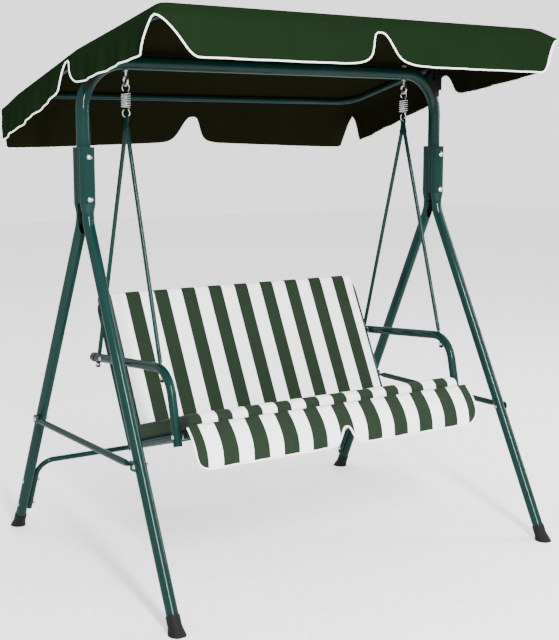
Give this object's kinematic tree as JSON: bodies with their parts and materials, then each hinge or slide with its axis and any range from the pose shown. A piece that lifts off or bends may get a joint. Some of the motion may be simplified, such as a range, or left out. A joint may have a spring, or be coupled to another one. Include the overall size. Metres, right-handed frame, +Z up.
{
  "type": "garden glider swing",
  "caption": "Two-seat glider swing: an A-legged tube frame carries a padded striped bench on springs under a tilting fabric canopy.",
  "frame": {"origin": "on the floor, midway between the four feet", "axes": "+Z up, -Y to the front of the bench, +X to a sitter's left"},
  "size_m": [1.33, 1.0872, 1.528],
  "materials": {
    "frame_paint": "glossy dark green powder coat",
    "zinc_plate": "bright zinc plate",
    "rubber": "matte black rubber",
    "black_plastic": "moulded black plastic",
    "white_plastic": "moulded white plastic",
    "striped_fabric": "woven polyester in wide dark green and white stripes",
    "canopy_fabric": "plain dark green woven polyester with white piping"
  },
  "bodies": {
    "frame": {"crossbar": "frame_paint", "front_left_leg": "frame_paint", "front_right_leg": "frame_paint", "rear_left_leg": "frame_paint", "rear_right_leg": "frame_paint", "front_left_foot": "rubber", "front_right_foot": "rubber", "rear_left_foot": "rubber", "rear_right_foot": "rubber", "left_side_brace": "frame_paint", "right_side_brace": "frame_paint", "rear_stretcher": "frame_paint", "frame_joint_bolts": "zinc_plate", "frame_joint_nuts": "zinc_plate", "brace_bolts": "zinc_plate", "brace_nuts": "zinc_plate", "stretcher_bolts": "zinc_plate", "stretcher_nuts": "zinc_plate", "eye_bolts": "zinc_plate", "eye_bolt_nuts": "zinc_plate", "left_canopy_bracket": "black_plastic", "right_canopy_bracket": "black_plastic", "canopy_pivot_bolts": "zinc_plate"},
    "springs": {"left_spring": "zinc_plate", "right_spring": "zinc_plate"},
    "seat": {"front_left_hanger_rod": "frame_paint", "front_right_hanger_rod": "frame_paint", "rear_left_hanger_rod": "frame_paint", "rear_right_hanger_rod": "frame_paint", "left_armrest": "frame_paint", "right_armrest": "frame_paint", "armrest_end_caps": "black_plastic", "armrest_bolts": "zinc_plate", "armrest_nuts": "zinc_plate", "armrest_spacers": "zinc_plate", "hanger_nuts": "zinc_plate", "hanger_nut_caps": "black_plastic", "back_frame": "frame_paint", "back_frame_plugs": "white_plastic", "seat_frame": "frame_paint", "seat_rear_bar": "frame_paint", "seat_pad": "striped_fabric", "back_pad": "striped_fabric", "seat_valance": "striped_fabric"},
    "canopy": {"canopy_front_bow": "frame_paint", "canopy_rear_bow": "frame_paint", "left_canopy_holder": "black_plastic", "right_canopy_holder": "black_plastic", "canopy_top": "canopy_fabric", "canopy_front_flap": "canopy_fabric", "canopy_rear_flap": "canopy_fabric", "canopy_left_flap": "canopy_fabric", "canopy_right_flap": "canopy_fabric"}
  },
  "joints": [
    {"name": "seat_swing", "type": "hinge", "parent": "frame", "child": "springs", "pos_m": [0, 0, 1.366], "axis": [1, 0, 0], "range_deg": [-20, 20]},
    {"name": "spring_bounce", "type": "slide", "parent": "springs", "child": "seat", "axis": [0, 0, 1], "range_m": [-0.025, 0], "stiffness_N_per_m": 12000, "springref_m": 0.0112, "deforming": ["left_spring", "right_spring"]},
    {"name": "canopy_tilt", "type": "hinge", "parent": "frame", "child": "canopy", "pos_m": [0, 0, 1.408], "axis": [1, 0, 0], "range_deg": [-10, 20]}
  ]
}
